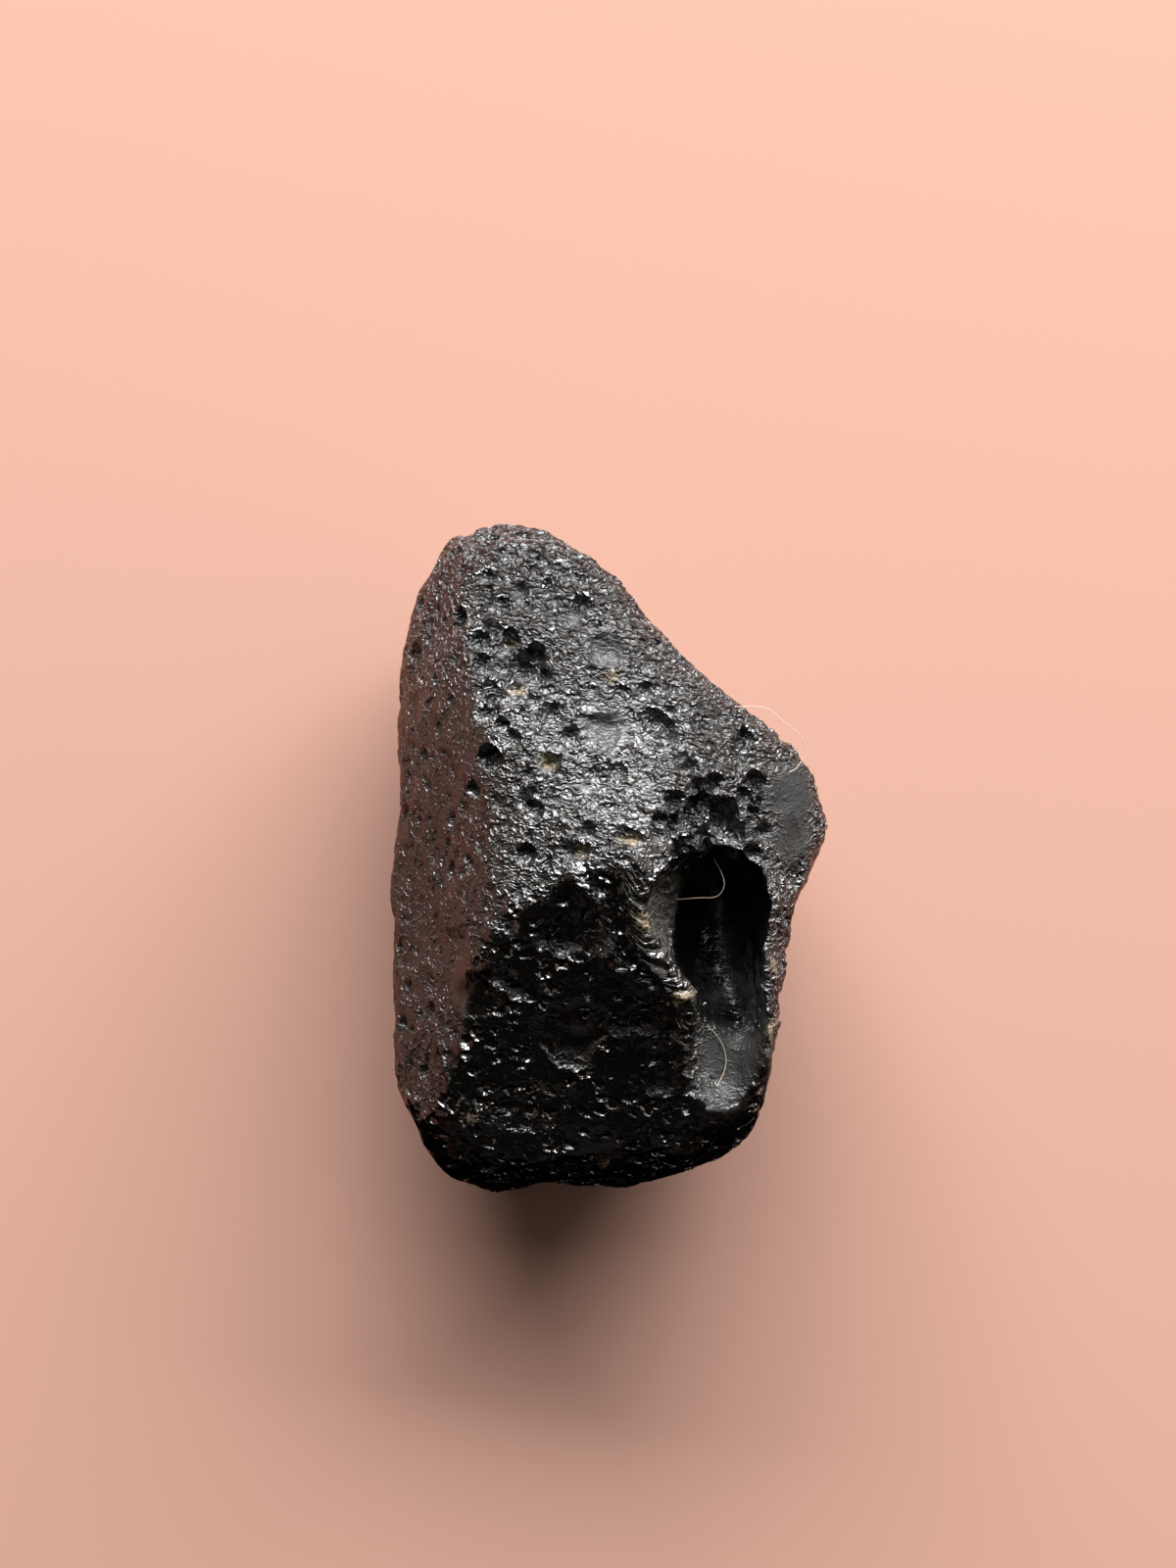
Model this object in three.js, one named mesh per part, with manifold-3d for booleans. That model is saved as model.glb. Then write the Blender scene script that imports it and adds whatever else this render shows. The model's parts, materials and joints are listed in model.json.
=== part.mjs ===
// A tektite: one lump of black natural glass, lying on its flattest side.
// Millimetres, +Z up. +Y runs along the stone towards its narrow end, +X across it.
// The stone is a broken, etched lump, so it is built as one: flat fracture facets that cut each
// other off along worn ridges, a slow waviness over all of them, and then the hollows scooped
// out of them, the largest of which is the deep groove along its right side.

import * as THREE from "three";
import { mergeVertices } from "three/addons/utils/BufferGeometryUtils.js";
import { ImprovedNoise } from "three/addons/math/ImprovedNoise.js";
import Module from "manifold-3d";

// Driving dimensions of the whole stone
const LENGTH = 22.0;
const WIDTH = 14.3;
const HEIGHT = 12.0;

// How the surface is worn
const RIDGE_WEAR = 0.22; // how far the facets melt into each other along a ridge
const BROAD_WAVE = { length: 5.2, height: 0.3 };
const SMALL_WAVE = { length: 2.1, height: 0.13 };

const BOWL_WEAR = 0.45; // how softly a shallow bowl rolls over into the face round it
const LOBE_BLEND = 0.7; // how far the lobes of the groove melt into each other

// How finely the solid is cut into flat faces. An icosahedron's edge is cut into one more than these
const LUMP_DETAIL = 17;
const GROOVE_DETAIL = 11;
const OUTLINE_STEPS = 150;
const HALVINGS = 40;

// The rays that find a surface start at a heart inside it and spread as an ellipsoid's would
const LUMP_HEART = new THREE.Vector3(-0.4, -0.2, 5.2);
const LUMP_REACH = new THREE.Vector3(LENGTH * 0.42, LENGTH * 0.62, LENGTH * 0.42);
const GROOVE_HEART = new THREE.Vector3(3.7, -2.6, 9.0);
const GROOVE_REACH = new THREE.Vector3(6.0, 9.5, 6.5);

// The stone's edge as seen from above, counter-clockwise from the narrow end
const OUTLINE = [
  [-3.4, 11.0], [-4.9, 10.6], [-5.35, 9.8], [-6.3, 8.65], [-6.9, 7.4], [-6.65, 6.0], [-6.8, 4.8],
  [-6.6, 1.9], [-7.15, -1.1], [-7.0, -4.0], [-6.9, -7.0], [-6.1, -8.9], [-5.4, -10.3],
  [-4.5, -11.0], [-3.6, -11.0], [-2.1, -10.5], [0.0, -10.85], [2.6, -10.15], [4.3, -8.95],
  [5.0, -7.2], [5.3, -4.4], [5.8, -1.5], [6.65, 0.1], [6.95, 1.1], [6.75, 2.1], [6.3, 3.0],
  [5.6, 3.9],
  [4.05, 5.2], [2.3, 6.7], [1.0, 8.1], [0.5, 9.0], [-0.5, 10.0], [-1.9, 10.75],
];

// Fracture facets. Each passes through a point and falls away towards an azimuth (degrees
// counter-clockwise from +X) at a slope from the horizontal. Past 90 degrees it faces down.
const FACETS = {
  upperFace: { through: [-0.6, 0.8, 12.0], azimuth: 92, slope: 24 },
  leftUpperFace: { through: [-0.8, 0.8, 11.9], azimuth: 176, slope: 28 },
  lowerFace: { through: [-0.6, 0.7, 12.0], azimuth: 259, slope: 27 },
  leftFlank: { through: [-3.8, 0.0, 10.1], azimuth: 181, slope: 62 },
  narrowLeftFlank: { through: [-4.9, 7.3, 9.1], azimuth: 163, slope: 69 },
  narrowEnd: { through: [-3.6, 10.4, 7.4], azimuth: 95, slope: 75 },
  narrowRightFlank: { through: [2.7, 6.9, 9.3], azimuth: 52, slope: 82 },
  upperRightFace: { through: [2.3, 2.4, 11.3], azimuth: 50, slope: 37 },
  shoulder: { through: [5.2, 2.8, 9.2], azimuth: 18, slope: 38 },
  rightRim: { through: [5.2, -2.0, 8.5], azimuth: 356, slope: 41 },
  wideRightCorner: { through: [4.3, -8.2, 6.6], azimuth: 308, slope: 60 },
  wideEnd: { through: [0.0, -9.4, 6.9], azimuth: 268, slope: 62 },
  wideLeftCorner: { through: [-5.4, -8.6, 6.6], azimuth: 215, slope: 62 },
  underLeft: { through: [-7.1, -2.0, 4.2], azimuth: 181, slope: 117 },
  underNarrowLeft: { through: [-6.9, 7.4, 4.5], azimuth: 155, slope: 121 },
  underNarrowEnd: { through: [-3.0, 11.0, 4.1], azimuth: 93, slope: 124 },
  underNarrowRight: { through: [3.6, 6.5, 4.2], azimuth: 51, slope: 119 },
  underShoulder: { through: [7.1, 1.0, 5.2], azimuth: 14, slope: 128 },
  underRight: { through: [6.1, -3.5, 4.6], azimuth: 354, slope: 119 },
  underWideRight: { through: [4.0, -9.5, 4.2], azimuth: 305, slope: 127 },
  underWideEnd: { through: [-1.0, -10.9, 3.8], azimuth: 267, slope: 121 },
  underWideLeft: { through: [-6.5, -8.5, 4.4], azimuth: 216, slope: 126 },
};

// Shallow bowls in the faces, as ellipsoids that dip into them: centre, half-axes, turn about Z
const BOWLS = [
  { centre: [-2.6, -8.1, 8.9], size: [2.9, 1.2, 1.5], turn: -3 }, // lower face
  { centre: [-0.7, -2.2, 12.25], size: [1.8, 1.6, 1.7], turn: 0 },
  { centre: [-2.8, 6.6, 10.6], size: [1.6, 1.3, 1.6], turn: -20 }, // upper face
  { centre: [1.2, 5.0, 11.6], size: [1.9, 1.3, 1.8], turn: 15 },
  { centre: [3.5, 1.0, 11.5], size: [1.9, 1.5, 1.4], turn: 0 }, // above the groove
  { centre: [-7.9, 2.4, 4.6], size: [1.3, 2.3, 2.0], turn: 0 }, // left flank
  { centre: [-7.9, -6.2, 2.9], size: [1.7, 2.0, 1.6], turn: 0 },
  { centre: [-7.2, 9.2, 3.4], size: [1.3, 1.5, 1.4], turn: 0 },
  { centre: [-1.4, -11.9, 3.6], size: [2.3, 1.5, 1.7], turn: 0 }, // wide end
  { centre: [7.0, -4.6, 3.9], size: [1.4, 1.9, 1.5], turn: 0 }, // right side
  { centre: [6.3, 3.6, 2.5], size: [1.5, 1.3, 1.3], turn: 40 },
  { centre: [3.9, 7.6, 5.2], size: [1.5, 1.5, 1.8], turn: 0 },
  { centre: [-1.7, 11.7, 3.5], size: [1.5, 1.2, 1.3], turn: 0 }, // narrow end
];

// The deep groove, as lobes that run into each other
const GROOVE_LOBES = [
  { centre: [3.35, -2.2, 9.2], size: [1.35, 2.6, 3.7], turn: 3 }, // its deepest part
  { centre: [2.6, -1.3, 10.9], size: [1.35, 1.7, 2.4], turn: 8 }, // its sloping left wall
  { centre: [3.75, -1.1, 10.0], size: [1.05, 1.6, 2.7], turn: 0 }, // its steep right wall
  { centre: [3.65, -3.7, 8.6], size: [0.9, 2.2, 3.2], turn: 18 }, // the slot it runs into
  { centre: [3.7, -6.3, 9.0], size: [1.3, 2.5, 1.9], turn: 8 }, // its shallow foot
];

const { degToRad } = THREE.MathUtils;
const wasm = await Module();
wasm.setup();

// The outline as a smooth closed line through its points
const outline = new THREE.CatmullRomCurve3(
  OUTLINE.map(([x, y]) => new THREE.Vector3(x, y, 0)),
  true,
  "centripetal",
).getPoints(OUTLINE_STEPS);

// Signed distance from the outline in plan, negative inside it
function outsideOutline(p) {
  let nearest = Infinity;
  let inside = false;
  for (let i = 0; i < OUTLINE_STEPS; i++) {
    const a = outline[i];
    const b = outline[i + 1];
    const alongX = b.x - a.x;
    const alongY = b.y - a.y;
    const share = ((p.x - a.x) * alongX + (p.y - a.y) * alongY) / (alongX ** 2 + alongY ** 2);
    const t = THREE.MathUtils.clamp(share, 0, 1);
    nearest = Math.min(nearest, Math.hypot(p.x - a.x - t * alongX, p.y - a.y - t * alongY));
    const crosses = a.y > p.y !== b.y > p.y;
    if (crosses && p.x < a.x + ((p.y - a.y) / alongY) * alongX) inside = !inside;
  }
  return inside ? -nearest : nearest;
}

// Each facet as a plane: the distance in front of it is negative inside the stone
const planes = Object.values(FACETS).map(({ through, azimuth, slope }) => {
  const normal = new THREE.Vector3(
    Math.cos(degToRad(azimuth)) * Math.sin(degToRad(slope)),
    Math.sin(degToRad(azimuth)) * Math.sin(degToRad(slope)),
    Math.cos(degToRad(slope)),
  );
  return new THREE.Plane().setFromNormalAndCoplanarPoint(normal, new THREE.Vector3(...through));
});

const noise = new ImprovedNoise();

function wave(p, { length, height }) {
  return height * noise.noise(p.x / length, p.y / length, p.z / length);
}

function smoothMax(a, b, reach) {
  const share = Math.max(reach - Math.abs(a - b), 0) / reach;
  return Math.max(a, b) + (share * share * reach) / 4;
}

// Near enough the signed distance from an ellipsoid, negative inside it
function outsideEllipsoid(p, { centre, size, turn }) {
  const local = p.clone().sub(new THREE.Vector3(...centre));
  local.applyAxisAngle(new THREE.Vector3(0, 0, 1), -degToRad(turn));
  const scaled = local.divide(new THREE.Vector3(...size));
  const length = scaled.length();
  const steepness = scaled.divide(new THREE.Vector3(...size)).length();
  return (length * (length - 1)) / Math.max(steepness, 1e-6);
}

// How far a point is outside the lump with its bowls: negative inside.
// The facets join by a smooth maximum, and the face that it lies on stays flat at Z = 0.
function outsideLump(p) {
  const distances = planes.map((plane) => plane.distanceToPoint(p));
  distances.push(outsideOutline(p));
  const sum = distances.reduce((total, d) => total + Math.exp(d / RIDGE_WEAR), 0);
  let worn = RIDGE_WEAR * Math.log(sum) + wave(p, BROAD_WAVE) + wave(p, SMALL_WAVE);
  for (const bowl of BOWLS) worn = smoothMax(worn, -outsideEllipsoid(p, bowl), BOWL_WEAR);
  return Math.max(worn, -p.z);
}

// How far a point is outside the groove's hollow: negative inside
function outsideGroove(p) {
  let nearest = Infinity;
  for (const lobe of GROOVE_LOBES) {
    nearest = -smoothMax(-nearest, -outsideEllipsoid(p, lobe), LOBE_BLEND);
  }
  return nearest + wave(p, SMALL_WAVE);
}

// An icosphere whose points are moved along their rays to the surface where outside() is zero
function roundedBody(detail, heart, reach, outside) {
  const sphere = new THREE.IcosahedronGeometry(1, detail);
  sphere.deleteAttribute("normal");
  sphere.deleteAttribute("uv");
  const geometry = mergeVertices(sphere, 1e-5);
  const position = geometry.getAttribute("position");
  const ray = new THREE.Vector3();
  const p = new THREE.Vector3();
  for (let i = 0; i < position.count; i++) {
    ray.fromBufferAttribute(position, i).multiply(reach);
    let near = 0;
    let far = 1;
    for (let step = 0; step < HALVINGS; step++) {
      const middle = (near + far) / 2;
      p.copy(heart).addScaledVector(ray, middle);
      if (outside(p) < 0) near = middle;
      else far = middle;
    }
    p.copy(heart).addScaledVector(ray, (near + far) / 2);
    position.setXYZ(i, p.x, p.y, p.z);
  }
  return geometry;
}

function solidOf(geometry) {
  return new wasm.Manifold(
    new wasm.Mesh({
      numProp: 3,
      vertProperties: geometry.getAttribute("position").array,
      triVerts: new Uint32Array(geometry.index.array),
    }),
  );
}

function geometryOf(solid) {
  const { vertProperties, triVerts } = solid.getMesh();
  return new THREE.BufferGeometry()
    .setAttribute("position", new THREE.BufferAttribute(vertProperties, 3))
    .setIndex(new THREE.BufferAttribute(triVerts, 1));
}

// Brings the stone to its driving dimensions, lying on Z = 0 with its middle over the origin
function placeOnOrigin(geometry) {
  geometry.computeBoundingBox();
  const { min, max } = geometry.boundingBox;
  geometry.translate(-(min.x + max.x) / 2, -(min.y + max.y) / 2, -min.z);
  geometry.scale(WIDTH / (max.x - min.x), LENGTH / (max.y - min.y), HEIGHT / (max.z - min.z));
  geometry.computeVertexNormals();
  return geometry;
}

function makeTektite() {
  const lump = solidOf(roundedBody(LUMP_DETAIL, LUMP_HEART, LUMP_REACH, outsideLump));
  const groove = solidOf(roundedBody(GROOVE_DETAIL, GROOVE_HEART, GROOVE_REACH, outsideGroove));
  const stone = lump.subtract(groove);
  const blackGlass = new THREE.MeshStandardMaterial({ color: 0x151414, roughness: 0.42, metalness: 0 });
  const mesh = new THREE.Mesh(placeOnOrigin(geometryOf(stone)), blackGlass);
  mesh.name = "tektite";
  return mesh;
}

const part = new THREE.Group();
part.add(makeTektite());

export default part;
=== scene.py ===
# %% [markdown]
# # A tektite: black natural glass, etched and pitted
# A tektite is a lump of natural glass. It cooled as glass, broke along flat facets, and then lay in
# the ground while acids in the soil ate into it. What shows is what the etching left: facets with
# worn ridges, round pits where bubbles were opened, one deep groove, and over all of it a skin of
# tiny scallops that throws the light back as bright crescents on black.
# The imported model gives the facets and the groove. This script gives the stone its skin.

# %% Load the frame
import json
import math
from functools import partial

import bpy
import numpy as np
from mathutils import Matrix, Vector
from mathutils.bvhtree import BVHTree
from mathutils.noise import noise

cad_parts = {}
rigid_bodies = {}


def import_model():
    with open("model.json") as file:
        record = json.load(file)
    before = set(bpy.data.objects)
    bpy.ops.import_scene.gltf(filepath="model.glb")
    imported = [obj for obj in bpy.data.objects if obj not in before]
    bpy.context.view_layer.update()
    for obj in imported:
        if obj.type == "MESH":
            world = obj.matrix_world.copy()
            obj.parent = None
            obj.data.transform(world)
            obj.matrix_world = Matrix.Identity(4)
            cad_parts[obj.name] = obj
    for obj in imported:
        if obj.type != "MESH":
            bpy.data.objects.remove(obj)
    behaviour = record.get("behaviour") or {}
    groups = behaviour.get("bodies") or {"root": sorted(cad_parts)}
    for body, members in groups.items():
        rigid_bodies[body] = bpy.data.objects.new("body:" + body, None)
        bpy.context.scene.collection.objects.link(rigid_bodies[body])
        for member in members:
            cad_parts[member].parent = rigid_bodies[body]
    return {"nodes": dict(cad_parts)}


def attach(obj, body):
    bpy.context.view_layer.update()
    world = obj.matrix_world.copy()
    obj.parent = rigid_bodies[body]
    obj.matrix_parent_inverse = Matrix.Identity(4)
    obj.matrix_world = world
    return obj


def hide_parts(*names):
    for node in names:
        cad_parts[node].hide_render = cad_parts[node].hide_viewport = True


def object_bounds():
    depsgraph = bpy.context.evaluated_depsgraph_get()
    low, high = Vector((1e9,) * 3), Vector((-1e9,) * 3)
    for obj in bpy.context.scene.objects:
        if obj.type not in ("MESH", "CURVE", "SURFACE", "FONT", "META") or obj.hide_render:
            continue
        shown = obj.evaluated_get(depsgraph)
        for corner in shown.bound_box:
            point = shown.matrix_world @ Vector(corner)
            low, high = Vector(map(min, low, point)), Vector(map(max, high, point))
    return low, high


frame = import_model()
cad_box = [[float(value) for value in corner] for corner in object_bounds()]
MM = 0.001
print("box of the packed model in mm:", [[round(v / MM, 2) for v in corner] for corner in cad_box])

# %% [markdown]
# ## Small tools
# Colours are written as they look on a screen, and the renderer wants them linear, so one function
# turns one into the other. Both the materials and the Geometry Nodes tree are built in code, so
# another function adds a node, sets its properties, fills or links its inputs and hands back the
# output that the next node reads. The others start and finish a material, and put a mesh in the
# scene.

# %% Colour, node and object helpers
def linear(hex_colour):
    """A colour such as #F3D5C6, as linear red, green, blue and alpha."""
    channels = [int(hex_colour[i : i + 2], 16) / 255 for i in (1, 3, 5)]
    return [c / 12.92 if c <= 0.04045 else ((c + 0.055) / 1.055) ** 2.4 for c in channels] + [1.0]


def fill(tree, node, values):
    """Sets a node's inputs, by name or number. A value that is a socket is linked instead."""
    for key, value in values.items():
        if isinstance(value, bpy.types.NodeSocket):
            tree.links.new(value, node.inputs[key])
        else:
            node.inputs[key].default_value = value


def add(tree, kind, inputs=(), out=None, **settings):
    """Adds a node and gives one of its outputs: the one called out, or else the first in use.

    The inputs are values in the node's own order, or a dict of values by name.
    """
    node = tree.nodes.new(kind)
    for name, value in settings.items():
        setattr(node, name, value)
    fill(tree, node, inputs if isinstance(inputs, dict) else dict(enumerate(inputs)))
    return node.outputs[out] if out else next((s for s in node.outputs if s.enabled), None)


def new_material(name):
    material = bpy.data.materials.new(name)
    material.use_nodes = True
    return material


def surfaced(material, values):
    """Sets or links the inputs of a material's shader."""
    tree = material.node_tree
    fill(tree, tree.nodes["Principled BSDF"], values)
    return material


def link_object(name, data):
    piece = bpy.data.objects.new(name, data)
    bpy.context.scene.collection.objects.link(piece)
    return piece


print("a mid grey is", round(linear("#808080")[0], 3), "in linear light")

# %% [markdown]
# ## The camera
# The photograph looks straight down on the stone from close by. Its frame is 51.6 mm tall at the
# level of the stone's outline, and the stone sits a little below and right of the middle.

# %% Place the camera
PICTURE_HEIGHT = 51.6 * MM  # what the frame's long side takes in at the level of the outline
OUTLINE_LEVEL = 4.2 * MM
CAMERA_DISTANCE = 160 * MM
PICTURE_CENTRE = (-0.63 * MM, 2.45 * MM)
SENSOR = 36.0  # mm, which is what Blender gives a lens in

camera = link_object("camera", bpy.data.cameras.new("camera"))
camera.location = (*PICTURE_CENTRE, OUTLINE_LEVEL + CAMERA_DISTANCE)
camera.data.sensor_width = SENSOR
camera.data.lens = SENSOR * CAMERA_DISTANCE / PICTURE_HEIGHT
camera.data.clip_start = 1 * MM
bpy.context.scene.camera = camera
print("lens in mm:", round(camera.data.lens, 1))

# %% [markdown]
# ## Floor and light
# Black glass has hardly any colour of its own: nearly all that the eye gets from it is reflected.
# So the light is set before the material. A long, low and strong light stands beyond the narrow
# end, and only slopes that tip about 30 degrees towards it mirror it, which are the lips of the
# scallops. That gives the bright crescents. A weaker light above it is mirrored by gentler slopes
# and turns them grey. Slopes that face the wide end mirror a black card and stay black, and steep
# flanks mirror the floor. Weak fills on the other sides keep the stone readable from all round.

# %% Build the floor
FLOOR_SIZE = 0.7  # m
FLOOR_COLOUR = "#86675B"  # under the strong key light it comes out as a pale peach
# Painted shade: the floor that the stone's reflections see is a darker brown than the floor itself
FLOOR_IN_REFLECTIONS_PAINTED_DARKER = "#6B4438"  # what the stone mirrors, so that its flanks stay a dark brown


def floor_material():
    """Matt board: it has hardly any shine, so the stone's shadow is all that shows on it."""
    material = new_material("pale_matt_board")
    put = partial(add, material.node_tree)
    mirrored = put("ShaderNodeLightPath", out="Is Glossy Ray")
    # Painted shade: rays that the stone mirrors see the floor in the darker brown
    colours = {"Factor": mirrored, "A": linear(FLOOR_COLOUR), "B": linear(FLOOR_IN_REFLECTIONS_PAINTED_DARKER)}
    colour = put("ShaderNodeMix", colours, data_type="RGBA")
    return surfaced(material, {"Base Color": colour, "Roughness": 0.9, "Specular IOR Level": 0.1})


def sheet(name, corners, material):
    """A flat sheet between four corners, for the set and not for the stone."""
    mesh = bpy.data.meshes.new(name)
    mesh.from_pydata(corners, [], [(0, 1, 2, 3)])
    mesh.materials.append(material)
    return link_object(name, mesh)


half = FLOOR_SIZE / 2
corners = [(-half, -half, 0), (half, -half, 0), (half, half, 0), (-half, half, 0)]
floor = sheet("floor", corners, floor_material())
print("side of the floor in m:", FLOOR_SIZE)

# %% Lay a black card beside the wide end
# The camera can't see it and it casts no shadow: it is painted shade, a black sheet there only for the
# stone's lower faces to mirror
CARD = [(-60, -110, 1), (60, -110, 1), (40, -9, 1), (-40, -9, 1)]  # its corners in mm

black = {"Base Color": linear("#000000"), "Specular IOR Level": 0.0}
painted_shade_card = surfaced(new_material("black_card"), black)
card = sheet("black_card", [(x * MM, y * MM, z * MM) for x, y, z in CARD], painted_shade_card)
card.visible_camera = card.visible_diffuse = card.visible_shadow = False
print("the card starts, in mm from the middle of the stone:", -CARD[2][1])

# %% Hang the lights
LIGHTS = [
    # name, azimuth and elevation in degrees, distance, width and height in m, radiance, colour
    ("low_key_beyond_narrow_end", 80, 25, 0.35, 0.56, 0.15, 45.0, "#FFFFFF"),
    ("high_key_beyond_narrow_end", 86, 50, 0.35, 0.40, 0.20, 3.4, "#FFFFFF"),
    ("fill_wide_end", 265, 10, 0.40, 0.30, 0.12, 0.08, "#FFFFFF"),
    ("fill_left", 185, 12, 0.40, 0.22, 0.22, 1.0, "#FFD9C4"),
    ("fill_right", 0, 20, 0.40, 0.36, 0.22, 1.8, "#FFF6EE"),
    ("kicker_right", 20, 46, 0.40, 0.24, 0.16, 1.6, "#FFFFFF"),
]
AIM = Vector((0, 0, 6 * MM))  # the middle of the stone


def soft_light(name, azimuth, elevation, distance, width, height, radiance, colour):
    """A soft box that faces the stone. Azimuth is counter-clockwise from +X."""
    data = bpy.data.lights.new(name, "AREA")
    data.shape = "RECTANGLE"
    data.size = width
    data.size_y = height
    data.energy = radiance * math.pi * width * height
    data.color = linear(colour)[:3]
    around, up = math.radians(azimuth), math.radians(elevation)
    direction = Vector((math.cos(around) * math.cos(up), math.sin(around) * math.cos(up), math.sin(up)))
    lamp = link_object(name, data)
    lamp.location = AIM + direction * distance
    lamp.rotation_euler = direction.to_track_quat("Z", "Y").to_euler()


for light in LIGHTS:
    soft_light(*light)
print("lights hung:", len(LIGHTS))

# %% Set the surroundings
AMBIENT = 0.015  # strength of the dim room
AMBIENT_COLOUR = "#FFF4EC"
BACKDROP_COLOUR = "#F2DDD2"


def surroundings():
    """A dim room for the stone to mirror, with a pale backdrop where the camera looks past the floor."""
    world = bpy.data.worlds.new("studio")
    world.use_nodes = True
    tree = world.node_tree
    tree.nodes.clear()
    seen = add(tree, "ShaderNodeLightPath", out="Is Camera Ray")
    dim = add(tree, "ShaderNodeBackground", {"Color": linear(AMBIENT_COLOUR), "Strength": AMBIENT})
    pale = add(tree, "ShaderNodeBackground", {"Color": linear(BACKDROP_COLOUR), "Strength": 1.0})
    add(tree, "ShaderNodeOutputWorld", {"Surface": add(tree, "ShaderNodeMixShader", (seen, dim, pale))})
    return world


scene = bpy.context.scene
scene.world = surroundings()
scene.view_settings.view_transform = "Standard"
print("strength of the surroundings:", AMBIENT)

# %% [markdown]
# ## The stone's body
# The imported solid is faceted, with long thin triangles where the groove was cut. Moving its points
# to make pits would fail, because most places have no point to move. So a copy of it is merged,
# rebuilt on an even grid, smoothed until its flat triangles are gone, and divided once more. That
# gives points 0.075 mm apart, fine enough for pits of a quarter of a millimetre.
# The body is worked on in millimetres and brought back to metres at the end.

# %% Rebuild the body on an even grid
MERGE_WITHIN = 0.001  # mm
GRID = 0.15  # mm
SMOOTHING = 0.5
SMOOTHING_ROUNDS = 10


def baked(piece):
    """Takes a piece with its modifiers to a plain mesh and removes the modifiers."""
    graph = bpy.context.evaluated_depsgraph_get()
    mesh = bpy.data.meshes.new_from_object(piece.evaluated_get(graph))
    piece.modifiers.clear()
    old = piece.data
    piece.data = mesh
    bpy.data.meshes.remove(old)
    return piece


def body_in_millimetres(node):
    body = link_object("stone", node.data.copy())
    body.data.transform(Matrix.Scale(1 / MM, 4))
    body.data.materials.clear()
    weld = body.modifiers.new("merge", "WELD")
    weld.merge_threshold = MERGE_WITHIN
    remesh = body.modifiers.new("grid", "REMESH")
    remesh.mode = "VOXEL"
    remesh.voxel_size = GRID
    smooth = body.modifiers.new("smooth", "SMOOTH")
    smooth.factor = SMOOTHING
    smooth.iterations = SMOOTHING_ROUNDS
    finer = body.modifiers.new("finer", "SUBSURF")
    finer.levels = finer.render_levels = 1
    return baked(body)


stone = body_in_millimetres(frame["nodes"]["tektite"])
print("points in the body:", len(stone.data.vertices), "faces:", len(stone.data.polygons))

# %% [markdown]
# ## The glass
# Tektite glass is so dark that it is black unless it is a thin splinter, and it is dry and hard,
# with the index of refraction of window glass, 1.5. It still has much of its natural polish, so it
# gets a smooth coat over a silkier gloss. Acid has etched it into scallops about a fifth of a
# millimetre across, and the eye knows the stone by them. One bowl meets the next in a sharp edge,
# and a Voronoi pattern does the same: the distance to the nearest of many scattered points, raised
# to a power, is a field of bowls with sharp edges between them. Each bowl also falls towards the
# wide end and climbs steeply to the next, so its lip tips to the light and shines as a crescent.
# All this goes into the bump, on top of the bowls that the mesh has. On the faces towards the wide
# end round pits take its place, and beside the groove fine streaks where the glass once flowed.
# Attributes on the mesh say how strong each of them is in each region.

# %% Scallops, as bowls that lean
SCALLOP_HEIGHT = 0.17  # mm, along the stone
SCALLOP_STRETCH = 1.8  # how much wider a scallop is than it is high
SCALLOP_DEPTH = 0.15  # mm that a scallop would fall over a whole cell's height
SCALLOP_TILT = 0.034  # mm from a scallop's high upper end to its low lower end
SCALLOP_PROFILE = 3.0  # power of the distance from its middle: more is flatter with a steeper edge
LIP_WIDTH = 0.11  # share of a scallop's height in which its lower end climbs to the next one


def scallops(put, places, height, depth, tilt):
    """The height of the scallops in mm, and how far each place is from the middle of its own."""
    drawn_out = put("ShaderNodeVectorMath", (places, (1 / SCALLOP_STRETCH, 1.0, 1.0)), operation="MULTIPLY")
    pattern = {"Vector": drawn_out, "Scale": 1 / height}
    cell = put("ShaderNodeTexVoronoi", pattern).node.outputs
    to_edge = put("ShaderNodeTexVoronoi", pattern, feature="DISTANCE_TO_EDGE")
    lip = {"Value": to_edge, "From Max": LIP_WIDTH}
    inside = put("ShaderNodeMapRange", lip, interpolation_type="SMOOTHSTEP")
    from_middle = put("ShaderNodeVectorMath", (drawn_out, cell["Position"]), operation="SUBTRACT")
    up = put("ShaderNodeSeparateXYZ", (from_middle,), out="Y")
    slant = put("ShaderNodeMath", (up, tilt / height), operation="MULTIPLY")
    leaning = put("ShaderNodeMath", (slant, inside), operation="MULTIPLY")
    bowl = put("ShaderNodeMath", (cell["Distance"], SCALLOP_PROFILE), operation="POWER")
    return put("ShaderNodeMath", (bowl, depth, leaning), operation="MULTIPLY_ADD"), cell["Distance"]


# %% The skin: coarse and fine scallops, with round pits on the sheltered faces
FINE_SHARE = 0.5  # size of the finer scallops that lie in the larger ones
FINE_DEPTH = 0.045  # mm, a little shallower for their size than the larger ones
FINE_TILT = 0.0136  # mm
PIT_SPACING = 0.56  # mm between the round pits of the sheltered faces
PIT_SHARE = 0.46  # radius of such a pit as a share of their spacing
PIT_PROFILE = 2.5  # as for the scallops
PIT_DEPTH = 0.40  # mm, for the deepest
SWIRL_SCALE = 3.0  # swirls per mm in the noise that warps the pattern
WARP = 0.4  # mm between the furthest that noise can pull a scallop one way and the other


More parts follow.
